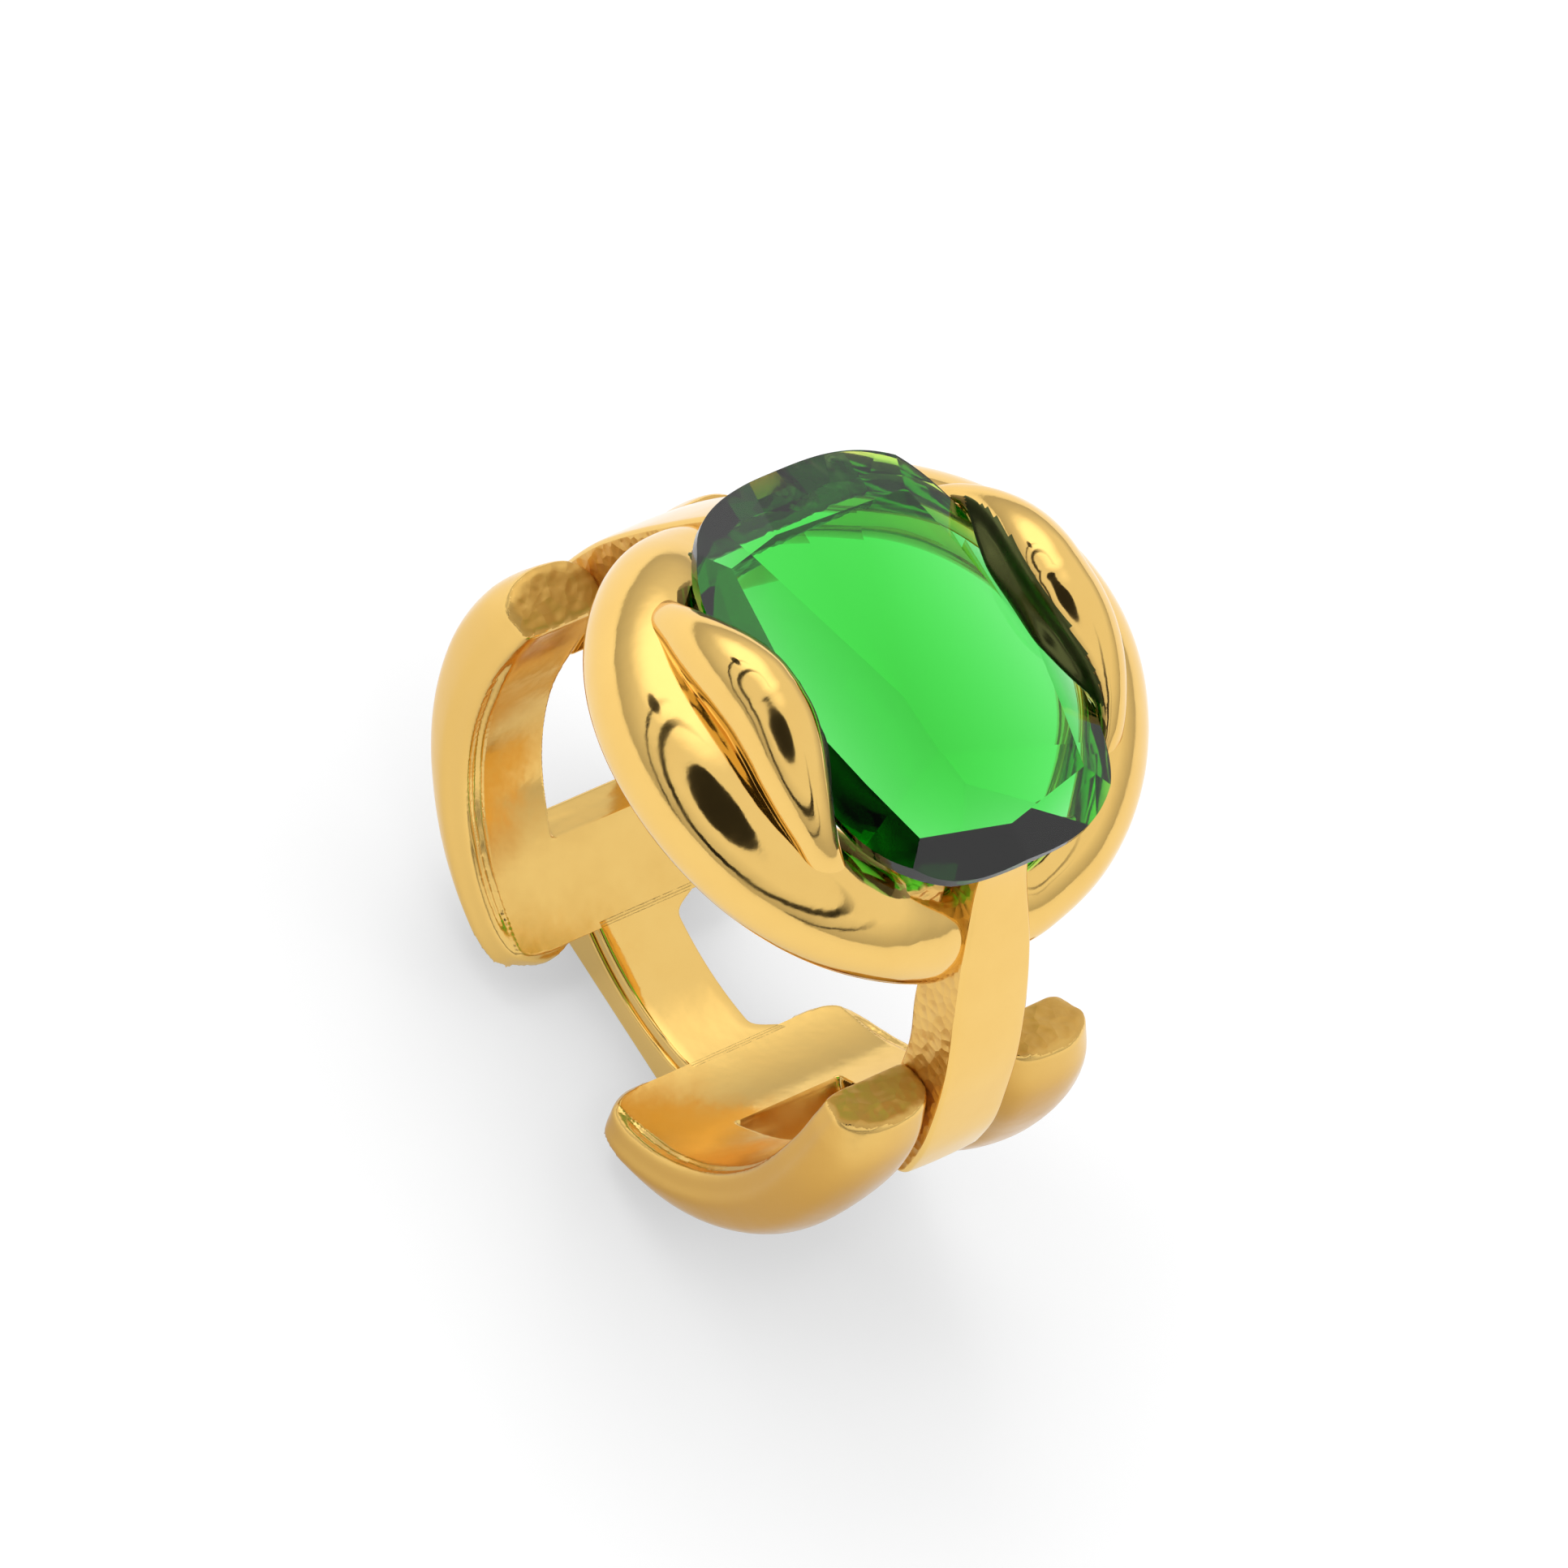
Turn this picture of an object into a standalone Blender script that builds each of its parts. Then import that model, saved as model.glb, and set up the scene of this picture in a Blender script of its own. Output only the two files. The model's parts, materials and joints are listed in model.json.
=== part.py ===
# Cocktail ring: a chain-link band of polished cast links that carries one
# faceted green stone between two folded claws.
#
# Frame: origin under the middle of the flat base, +Z up to the stone, finger
# axis along Y. The front link is on +X, the back link on -X, and the near
# loop and claw are on -Y. Angles round the finger hole run from straight
# down (0 degrees) towards the front link (90 degrees is +X).

import bpy
import bmesh
from math import sin, cos, pi, radians, copysign, hypot

# ---------------------------------------------------------------- dimensions
MM = 0.001
HOLE_RADIUS = 8.75          # finger hole, 17.5 mm inside diameter
BASE_DROP = 10.2            # flat base below the finger axis
GAP = 0.12                  # clearance kept between touching pieces

BAR_HALF_WIDTH = 1.5        # base bars and straps, along the finger axis
LINK_START = 18.0           # degrees, lower edge of a link's plate
WINDOW_START = 41.0         # degrees, lower edge of a link's window
RIM_START = 17.0            # degrees, lower ends of a link's rims
RIM_END = 107.0             # degrees, tips of a link's rims
STRAP_START = 87.0          # degrees, lower end of a strap

STONE_HALF_LENGTH = 7.5
STONE_HALF_WIDTH = 5.32
STONE_SHIFT = 0.12          # the girdle's middle towards the front link
GIRDLE_LOW = 12.42          # heights above the finger axis
GIRDLE_HIGH = 12.65
TABLE_HEIGHT = 13.3
KEEL_HEIGHT = 11.0
TABLE = [(6.5, -0.15), (5.75, 3.25), (3.6, 3.8), (1.3, 4.32), (-2.4, 3.9),
         (-4.95, 3.4), (-5.2, -1.6), (-4.75, -3.65), (1.4, -4.35),
         (3.45, -3.85), (5.72, -3.4)]

GOLD = (0.86, 0.58, 0.22)
GREEN = (0.03, 0.55, 0.09)

# ------------------------------------------------------------------- helpers
for old in list(bpy.data.objects):
    bpy.data.objects.remove(old, do_unlink=True)

scene = bpy.context.scene
PARTS = bpy.data.collections.new("cocktail_ring")
CUTTERS = bpy.data.collections.new("cutters")
scene.collection.children.link(PARTS)
scene.collection.children.link(CUTTERS)


def material(name, colour, metallic, roughness, transmission=0.0):
    mat = bpy.data.materials.new(name)
    mat.use_nodes = True
    bsdf = mat.node_tree.nodes["Principled BSDF"]
    bsdf.inputs["Base Color"].default_value = (*colour, 1.0)
    bsdf.inputs["Metallic"].default_value = metallic
    bsdf.inputs["Roughness"].default_value = roughness
    bsdf.inputs["Transmission Weight"].default_value = transmission
    return mat


def point(x, y, z):
    """A point given in millimetres from the finger axis, in part metres."""
    return (x * MM, y * MM, (z + BASE_DROP) * MM)


def polar(radius, degrees, y):
    a = radians(degrees)
    return (radius * sin(a), y, -radius * cos(a))


def track(t, stations):
    """Smooth value at t through (t, value) stations; values may be tuples."""
    if isinstance(stations[0][1], tuple):
        width = len(stations[0][1])
        return tuple(track(t, [(s[0], s[1][i]) for s in stations])
                     for i in range(width))
    if t <= stations[0][0]:
        return stations[0][1]
    if t >= stations[-1][0]:
        return stations[-1][1]
    for i in range(len(stations) - 1):
        t0, v0 = stations[i]
        t1, v1 = stations[i + 1]
        if t <= t1:
            h = t1 - t0
            s = (t - t0) / h
            m0 = (v1 - v0) / h
            m1 = m0
            if i > 0:
                m0 = (v1 - stations[i - 1][1]) / (t1 - stations[i - 1][0])
            if i + 2 < len(stations):
                m1 = (stations[i + 2][1] - v0) / (stations[i + 2][0] - t0)
            return ((2 * s ** 3 - 3 * s * s + 1) * v0
                    + (s ** 3 - 2 * s * s + s) * h * m0
                    + (3 * s * s - 2 * s ** 3) * v1
                    + (s ** 3 - s * s) * h * m1)


def mesh_object(name, bm, mat, collection):
    bmesh.ops.recalc_face_normals(bm, faces=bm.faces)
    mesh = bpy.data.meshes.new(name)
    bm.to_mesh(mesh)
    bm.free()
    mesh.materials.append(mat)
    mesh.shade_smooth()
    mesh.set_sharp_from_angle(angle=radians(35))
    obj = bpy.data.objects.new(name, mesh)
    collection.objects.link(obj)
    return obj


def loft(name, sections, mat, collection):
    """Closed body through rings of equal count, with a fan cap at each end."""
    bm = bmesh.new()
    rings = [[bm.verts.new(point(*p)) for p in ring] for ring in sections]
    count = len(rings[0])
    for a, b in zip(rings[:-1], rings[1:]):
        for k in range(count):
            bm.faces.new((a[k], a[(k + 1) % count],
                          b[(k + 1) % count], b[k]))
    for ring in (rings[0], rings[-1]):
        centre = [sum(v.co[i] for v in ring) / count for i in range(3)]
        hub = bm.verts.new(centre)
        for k in range(count):
            bm.faces.new((ring[k], ring[(k + 1) % count], hub))
    return mesh_object(name, bm, mat, collection)


def rounded(half_a, half_b, power, count):
    """Points of a superellipse, from a nearly square to a round section."""
    ring = []
    for k in range(count):
        a = 2 * pi * (k + 0.5) / count
        c, s = cos(a), sin(a)
        ring.append((half_a * copysign(abs(c) ** power, c),
                     half_b * copysign(abs(s) ** power, s)))
    return ring


def mirrored(sections, x=1, y=1):
    return [[(p[0] * x, p[1] * y, p[2]) for p in ring] for ring in sections]


def cutter(name, sections):
    obj = loft(name, sections, gold_plain, CUTTERS)
    obj.hide_render = True
    obj.display_type = 'WIRE'
    return obj


def boolean(obj, tool, operation):
    mod = obj.modifiers.new(operation.lower() + "_" + tool.name, 'BOOLEAN')
    mod.operation = operation
    mod.solver = 'EXACT'
    mod.object = tool


# ------------------------------------------------------- the ring's sections
def rim_sections(steps, count):
    """Puffed rim of the front link on the near side, lower end to tip."""
    rings = []
    for i in range(steps + 1):
        deg = RIM_START + (RIM_END - RIM_START) * i / steps
        outer = track(deg, [(17, 9.75), (21, 10.2), (35, 10.85), (57, 11.15),
                            (80, 11.35), (98, 11.5), (107, 11.15)])
        inner = track(deg, [(17, HOLE_RADIUS), (80, HOLE_RADIUS),
                            (98, 9.0), (107, 9.25)])
        far = track(deg, [(17, 4.3), (21, 4.95), (30, 5.25), (57, 5.42),
                          (85, 5.42), (100, 5.2), (107, 4.75)])
        near = track(deg, [(17, 3.4), (24, 2.5), (41, 2.05), (80, 2.05),
                           (95, 1.66), (107, 1.66)])
        mid_y, half_y = (far + near) / 2, (far - near) / 2
        mid_r, half_r = (outer + inner) / 2, (outer - inner) / 2
        rings.append([polar(mid_r + b, deg, -(mid_y + a))
                      for a, b in rounded(half_y, half_r, 0.62, count)])
    return rings


def plate_sections(steps, count):
    """Curved plate of the front link between its lower edge and window."""
    rings = []
    for i in range(steps + 1):
        deg = LINK_START + (WINDOW_START - LINK_START) * i / steps
        thick = track(deg, [(LINK_START, 1.05), (WINDOW_START, 1.25)])
        half_y = track(deg, [(LINK_START, 3.9), (26, 4.5),
                             (WINDOW_START, 4.6)])
        ring = rounded(half_y, thick / 2, 0.18, count)
        rings.append([polar(HOLE_RADIUS + thick / 2 + b, deg, a)
                      for a, b in ring])
    return rings


# outer and inner lines of a strap in the XZ plane, and its half width
STRAP = [(0, (11.0, -0.58, 8.9, -0.47, 1.5)),
         (1, (11.1, 0.7, 8.95, 0.6, 1.5)),
         (2, (10.95, 2.1, 8.8, 1.9, 1.5)),
         (3, (10.5, 4.06, 8.45, 3.65, 1.5)),
         (4, (9.65, 6.2, 7.75, 5.3, 1.5)),
         (5, (8.6, 8.4, 7.0, 7.5, 1.38)),
         (6, (7.5, 10.5, 6.4, 9.8, 1.1)),
         (7, (7.1, 11.55, 6.2, 11.1, 0.95))]


def strap_sections(steps, count, grow=0.0):
    """Flat strap from between the rim tips up to the end of the stone."""
    rings = []
    for i in range(steps + 1):
        t = 7 * i / steps
        if grow:
            t = -0.15 + 7.3 * i / steps
        ox, oz, ix, iz, half_width = track(t, STRAP)
        thick = hypot(ox - ix, oz - iz)
        ux, uz = (ox - ix) / thick, (oz - iz) / thick
        mid = ((ox + ix) / 2, (oz + iz) / 2)
        ring = rounded(half_width + grow, thick / 2 + grow, 0.16, count)
        rings.append([(mid[0] + ux * b, a, mid[1] + uz * b)
                      for a, b in ring])
    if grow:
        # carry the cutter straight on past each end of the strap
        first = [(p[0], p[1], p[2] - 0.15) for p in rings[0]]
        rings = [first] + rings
    return rings


def loop_sections(steps, count, grow=0.0):
    """Puffed loop on the near side, from the back strap to the front one."""
    rings = []
    for i in range(steps + 1):
        th = radians(-80 + 160 * i / steps)
        s, c = sin(th), cos(th)
        lift = abs(c)
        x = copysign(abs(s) ** 0.97, s) * track(lift, [(0.17, 7.45),
                                                       (0.5, 7.3), (1, 7.05)])
        y = -7.35 * c ** 0.97
        z = track(lift, [(0.17, 8.2), (0.5, 9.3), (1, 10.6)])
        out = track(lift, [(0.17, 1.05), (0.5, 1.6), (1, 1.9)]) + grow
        up = track(lift, [(0.17, 1.6), (0.5, 1.8), (1, 1.8)]) + grow
        lean = track(lift, [(0.17, 0.45), (0.5, 0.3), (1, 0.1)])
        nx, ny = x / 49.0, y / 49.0
        size = hypot(nx, ny)
        nx, ny = nx / size, ny / size
        ring = []
        for a, b in rounded(out, up, 0.9, count):
            flat = a * cos(lean) - b * sin(lean)
            high = a * sin(lean) + b * cos(lean)
            ring.append((x + nx * flat, y + ny * flat, z + high))
        rings.append(ring)
    return rings


# ridge of a claw against the distance from its middle: stone side and height
# of its inner edge, then the radii of its inner and its outer rounding
CLAW_RIDGE = [(0, (4.7, 14.66, 1.12, 1.74)), (1.0, (4.75, 14.58, 1.1, 1.72)),
              (2.0, (4.93, 14.28, 0.98, 1.6)), (3.0, (5.18, 13.76, 0.76, 1.34)),
              (4.0, (5.33, 13.0, 0.52, 1.02)), (4.8, (5.2, 12.1, 0.44, 0.8)),
              (5.4, (4.85, 11.2, 0.4, 0.7)), (6.2, (4.2, 10.1, 0.38, 0.6))]


def claw_sections(steps):
    """Rounded ridge of the near claw; it sinks into the loop at each end."""
    rings = []
    for i in range(steps + 1):
        x = 5.2 * sin(radians(-90 + 180 * i / steps))
        side, high, ri, ro = track(abs(x), CLAW_RIDGE)
        yc, zc = side + 0.843 * ri, high - 0.538 * ri
        ox, oz = yc + (ri - ro) * 0.538, zc + (ri - ro) * 0.843
        ring = [(yc + ri * cos(radians(deg)), zc + ri * sin(radians(deg)))
                for deg in (180, 145, 110, 80, 57.4)]
        ring += [(ox + ro * cos(radians(deg)), oz + ro * sin(radians(deg)))
                 for deg in (36, 14, -8, -26)]
        yo, zo = ring[-1]
        ring += [(yo - 0.3, zo - 1.2), (yc - ri + 0.6, zo - 1.2),
                 (yc - ri - 0.2, zc - 0.75)]
        rings.append([(x, -y, z) for y, z in ring])
    return rings


def stone_bmesh(grow=0.0):
    """Elongated cushion: flat table and crown facets above a curved girdle,
    and a shallow pavilion whose long facets meet in a keel."""
    bm = bmesh.new()
    around = 32
    for k in range(around):
        a = 2 * pi * (k + 0.5) / around
        c, s = cos(a), sin(a)
        x = (STONE_HALF_LENGTH + grow) * copysign(abs(c) ** 0.66, c)
        y = (STONE_HALF_WIDTH + grow) * copysign(abs(s) ** 0.66, s)
        for z in (GIRDLE_LOW - grow, GIRDLE_HIGH + grow):
            bm.verts.new(point(STONE_SHIFT + x, y + 0.1, z))
    for x, y in TABLE:
        bm.verts.new(point(x * (1 + grow / 6), y * (1 + grow / 4),
                           TABLE_HEIGHT + grow))
    for x in (3.7, -3.9):
        bm.verts.new(point(x, -0.1, KEEL_HEIGHT - grow))
    hull = bmesh.ops.convex_hull(bm, input=bm.verts)
    loose = [g for g in hull["geom_interior"] if isinstance(g, bmesh.types.BMVert)]
    bmesh.ops.delete(bm, geom=loose, context='VERTS')
    bmesh.ops.dissolve_limit(bm, angle_limit=radians(1.0), verts=bm.verts,
                             edges=bm.edges)
    return bm


# -------------------------------------------------------------------- pieces
gold_plain = material("gold_plain", GOLD, 1.0, 0.2)


def gold(name, roughness=0.16):
    return material("gold_" + name, GOLD, 1.0, roughness)


# the faceted stone, with an enlarged copy that clears its seat and claws
stone = mesh_object("stone", stone_bmesh(),
                    material("green_glass", GREEN, 0.0, 0.02, 1.0), PARTS)
stone.data.shade_flat()
stone_room = mesh_object("stone_room", stone_bmesh(GAP), gold_plain, CUTTERS)
stone_room.hide_render = True
stone_room.display_type = 'WIRE'

# base: a thin comfort strip inside, and a flat-bottomed bar under it
strip = []
for i in range(13):
    deg = -(LINK_START - 0.8) + 2 * (LINK_START - 0.8) * i / 12
    strip.append([polar(HOLE_RADIUS + 0.3 + b, deg, a)
                  for a, b in rounded(BAR_HALF_WIDTH, 0.3, 0.16, 12)])
loft("base_bar_inner", strip, gold("base_bar_inner"), PARTS)

bottom = []
for i in range(13):
    x = -3.35 + 6.7 * i / 12
    # its upper side follows the strip and, outside it, the plates' backs
    reach = 9.5 + 0.5 * min(max((abs(x) - 2.5) / 0.35, 0.0), 1.0)
    top = -(reach * reach - x * x) ** 0.5
    mid, half = (top - BASE_DROP) / 2, (top + BASE_DROP) / 2
    bottom.append([(x, a, mid + b)
                   for a, b in ((-1.5, -half), (1.5, -half),
                                (1.5, half), (-1.5, half))])
base_bar = loft("base_bar_outer", bottom, gold("base_bar_outer"), PARTS)

# the two cast links: curved plate with a window between two puffed rims
strap_room = {}
link_room = {}
for side, sx in (("front", 1), ("back", -1)):
    link = loft("link_" + side, mirrored(plate_sections(6, 12), sx),
                gold("link_" + side), PARTS)
    for name, sy in (("near", 1), ("far", -1)):
        rim = loft("rim_%s_%s" % (side, name),
                   mirrored(rim_sections(16, 14), sx, sy), gold_plain, CUTTERS)
        rim.hide_render = True
        rim.display_type = 'WIRE'
        boolean(link, rim, 'UNION')
    strap_room[side] = cutter("strap_room_" + side,
                              mirrored(strap_sections(14, 12, GAP), sx))

# the straps that carry the head
for side, sx in (("front", 1), ("back", -1)):
    strap = loft("strap_" + side, mirrored(strap_sections(16, 12), sx),
                 gold("strap_" + side), PARTS)
    boolean(strap, stone_room, 'DIFFERENCE')
    boolean(bpy.data.objects["link_" + side], strap_room[side], 'DIFFERENCE')

# the head: two loops, and a claw folded over the stone inside each
for name, sy in (("near", 1), ("far", -1)):
    loop = loft("loop_" + name, mirrored(loop_sections(26, 14), 1, sy),
                gold("loop_" + name), PARTS)
    boolean(loop, strap_room["front"], 'DIFFERENCE')
    boolean(loop, strap_room["back"], 'DIFFERENCE')
    boolean(loop, stone_room, 'DIFFERENCE')
    loop_room = cutter("loop_room_" + name,
                       mirrored(loop_sections(26, 14, GAP), 1, sy))
    claw = loft("claw_" + name, mirrored(claw_sections(20), 1, sy),
                gold("claw_" + name), PARTS)
    boolean(claw, loop_room, 'DIFFERENCE')
    boolean(claw, stone_room, 'DIFFERENCE')

# rough cast seats that bridge the loops behind each strap's upper end
for side, sx in (("front", 1), ("back", -1)):
    block = []
    for i in range(15):
        y = -3.3 + 6.6 * i / 14
        # thin behind the strap, thicker at both sides of it
        wide = min(max((abs(y) - 1.2) / 0.7, 0.0), 1.0)
        half = 0.2 + 0.4 * wide
        x = 5.93 + 0.42 * wide - 0.05 * max(abs(y) - 2.0, 0.0)
        block.append([(x + a - 0.25 * b, y, 9.95 + b)
                      for a, b in rounded(half, 1.0, 0.3, 12)])
    seat = loft("seat_" + side, mirrored(block, sx),
                gold("seat_" + side, 0.45), PARTS)
    boolean(seat, stone_room, 'DIFFERENCE')
    boolean(seat, strap_room[side], 'DIFFERENCE')
    boolean(seat, bpy.data.objects["loop_room_near"], 'DIFFERENCE')
    boolean(seat, bpy.data.objects["loop_room_far"], 'DIFFERENCE')
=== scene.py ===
# Cocktail ring: the visible meshes, materials, light and camera.
# Every measure below is in millimetres from the finger axis; finished() turns it
# into the frame's metres. Pieces are built fine here and stand for CAD nodes.

import json
from math import sin, cos, pi, radians, copysign, hypot, sqrt, degrees, atan2

import bpy
import bmesh
import numpy as np
from mathutils import Vector, Matrix, noise

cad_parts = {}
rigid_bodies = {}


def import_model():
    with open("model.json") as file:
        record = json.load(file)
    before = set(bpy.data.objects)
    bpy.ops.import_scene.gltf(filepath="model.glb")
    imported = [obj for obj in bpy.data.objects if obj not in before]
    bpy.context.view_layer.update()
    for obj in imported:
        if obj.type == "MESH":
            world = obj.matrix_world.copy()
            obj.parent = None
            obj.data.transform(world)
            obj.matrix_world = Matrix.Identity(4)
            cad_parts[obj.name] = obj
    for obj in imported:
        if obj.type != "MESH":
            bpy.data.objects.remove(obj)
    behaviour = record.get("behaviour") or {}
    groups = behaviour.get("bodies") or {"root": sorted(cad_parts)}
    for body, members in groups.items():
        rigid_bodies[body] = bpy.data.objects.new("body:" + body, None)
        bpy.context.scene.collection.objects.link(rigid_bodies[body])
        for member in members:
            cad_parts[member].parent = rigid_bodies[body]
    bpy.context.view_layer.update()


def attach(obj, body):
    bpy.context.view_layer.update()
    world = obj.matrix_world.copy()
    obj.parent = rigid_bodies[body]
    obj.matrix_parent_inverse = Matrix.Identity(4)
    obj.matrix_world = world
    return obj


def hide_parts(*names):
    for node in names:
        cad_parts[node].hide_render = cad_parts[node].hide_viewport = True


for leftover in list(bpy.data.objects):
    bpy.data.objects.remove(leftover, do_unlink=True)

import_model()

MM = 0.001
AXIS_UP = 10.2            # finger axis above the flat base
HOLE = 8.75               # finger hole radius


# ------------------------------------------------------------------- helpers
def track(t, stations):
    """Smooth value at t through (t, value) stations; values may be tuples."""
    if isinstance(stations[0][1], tuple):
        return tuple(track(t, [(s[0], s[1][i]) for s in stations])
                     for i in range(len(stations[0][1])))
    if t <= stations[0][0]:
        return stations[0][1]
    if t >= stations[-1][0]:
        return stations[-1][1]
    for i in range(len(stations) - 1):
        t0, v0 = stations[i]
        t1, v1 = stations[i + 1]
        if t <= t1:
            h = t1 - t0
            s = (t - t0) / h
            m0 = m1 = (v1 - v0) / h
            if i > 0:
                m0 = (v1 - stations[i - 1][1]) / (t1 - stations[i - 1][0])
            if i + 2 < len(stations):
                m1 = (stations[i + 2][1] - v0) / (stations[i + 2][0] - t0)
            return ((2 * s ** 3 - 3 * s * s + 1) * v0
                    + (s ** 3 - 2 * s * s + s) * h * m0
                    + (3 * s * s - 2 * s ** 3) * v1
                    + (s ** 3 - s * s) * h * m1)


def ease(t):
    t = min(max(t, 0.0), 1.0)
    return t * t * (3 - 2 * t)


def polar(radius, deg, y):
    a = radians(deg)
    return (radius * sin(a), y, -radius * cos(a))


def closed_spline(points, count):
    """Evenly spaced points on a closed smooth curve through the points.
    A point given a third value of 1 is a tighter corner."""
    n = len(points)
    dense = []
    for i in range(n):
        p0, p1, p2, p3 = (points[(i + j) % n] for j in (-1, 0, 1, 2))
        for k in range(16):
            t = k / 16
            out = []
            for c in (0, 1):
                a, b, d, e = p0[c], p1[c], p2[c], p3[c]
                out.append(0.5 * (2 * b + (d - a) * t
                                  + (2 * a - 5 * b + 4 * d - e) * t * t
                                  + (3 * b - a - 3 * d + e) * t ** 3))
            dense.append(out)
    pts = np.array(dense)
    seg = np.linalg.norm(np.roll(pts, -1, 0) - pts, axis=1)
    cum = np.concatenate([[0], np.cumsum(seg)])
    full = np.vstack([pts, pts[:1]])
    want = np.linspace(0, cum[-1], count, endpoint=False)
    return [(float(np.interp(w, cum, full[:, 0])),
             float(np.interp(w, cum, full[:, 1]))) for w in want]


def rounded_box(half_a, half_b, radius, per_corner=6, per_side=6):
    """Rectangle outline with round corners, as (a, b) points."""
    ring = []
    r = min(radius, half_a * 0.98, half_b * 0.98)
    for q, (sx, sy) in enumerate(((1, 1), (-1, 1), (-1, -1), (1, -1))):
        cx, cy = sx * (half_a - r), sy * (half_b - r)
        for k in range(per_corner + 1):
            a = pi / 2 * (q + k / per_corner)
            ring.append((cx + r * cos(a), cy + r * sin(a)))
        nx_, ny_ = ((-1, 1), (-1, -1), (1, -1), (1, 1))[q]
        ax, ay = ring[-1]
        bx = nx_ * (half_a - r) + r * cos(pi / 2 * (q + 1))
        by = ny_ * (half_b - r) + r * sin(pi / 2 * (q + 1))
        for k in range(1, per_side):
            f = k / per_side
            ring.append((ax + (bx - ax) * f, ay + (by - ay) * f))
    return ring


def mirrored(sections, x=1, y=1):
    return [[(p[0] * x, p[1] * y, p[2]) for p in ring] for ring in sections]


def loft_into(bm, sections):
    """Adds a closed body through the rings, with a fan cap at each end."""
    rings = [[bm.verts.new(p) for p in ring] for ring in sections]
    n = len(rings[0])
    faces = []
    for a, b in zip(rings[:-1], rings[1:]):
        for k in range(n):
            faces.append(bm.faces.new((a[k], a[(k + 1) % n],
                                       b[(k + 1) % n], b[k])))
    for ring in (rings[0], rings[-1]):
        c = [sum(v.co[i] for v in ring) / n for i in range(3)]
        hub = bm.verts.new(c)
        for k in range(n):
            faces.append(bm.faces.new((ring[k], ring[(k + 1) % n], hub)))
    bmesh.ops.recalc_face_normals(bm, faces=faces)


def finished(name, bm, nodes, sharp=40):
    """Turns a bmesh in millimetres into a piece that stands for CAD nodes."""
    bmesh.ops.recalc_face_normals(bm, faces=bm.faces)
    mesh = bpy.data.meshes.new(name)
    bm.to_mesh(mesh)
    bm.free()
    mesh.transform(Matrix.Scale(MM, 4) @ Matrix.Translation((0, 0, AXIS_UP)))
    if sharp is None:
        mesh.shade_flat()
    else:
        mesh.shade_smooth()
        mesh.set_sharp_from_angle(angle=radians(sharp))
    obj = bpy.data.objects.new(name, mesh)
    bpy.context.scene.collection.objects.link(obj)
    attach(obj, "root")
    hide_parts(*nodes)
    return obj


def fused(bm, voxel, smooth):
    """One skin round overlapping bodies, with small fillets where they meet."""
    mesh = bpy.data.meshes.new("tmp")
    bm.to_mesh(mesh)
    bm.free()
    obj = bpy.data.objects.new("tmp", mesh)
    bpy.context.scene.collection.objects.link(obj)
    mod = obj.modifiers.new("skin", 'REMESH')
    mod.mode = 'VOXEL'
    mod.voxel_size = voxel
    mod.adaptivity = 0.0
    soft = obj.modifiers.new("soft", 'SMOOTH')
    soft.factor = 0.5
    soft.iterations = smooth
    graph = bpy.context.evaluated_depsgraph_get()
    done = bpy.data.meshes.new_from_object(obj.evaluated_get(graph))
    out = bmesh.new()
    out.from_mesh(done)
    bpy.data.objects.remove(obj, do_unlink=True)
    bpy.data.meshes.remove(mesh)
    bpy.data.meshes.remove(done)
    return out


def roughen(bm, weight, size, depth):
    """Pebbles the surface where weight(co, normal) is above zero."""
    bm.normal_update()
    moves = []
    for v in bm.verts:
        w = weight(v.co, v.normal)
        if w > 0:
            q = v.co / size
            n = (noise.noise(q) + 0.5 * noise.noise(q * 2.1 + Vector((7, 3, 1))))
            moves.append((v, v.normal * (n * depth * w)))
    for v, m in moves:
        v.co += m


# ----------------------------------------------------------------- materials
def node(tree, kind, at=(0, 0), **values):
    n = tree.nodes.new(kind)
    n.location = at
    for key, value in values.items():
        if key in n.inputs:
            n.inputs[key].default_value = value
        else:
            setattr(n, key, value)
    return n


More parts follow.
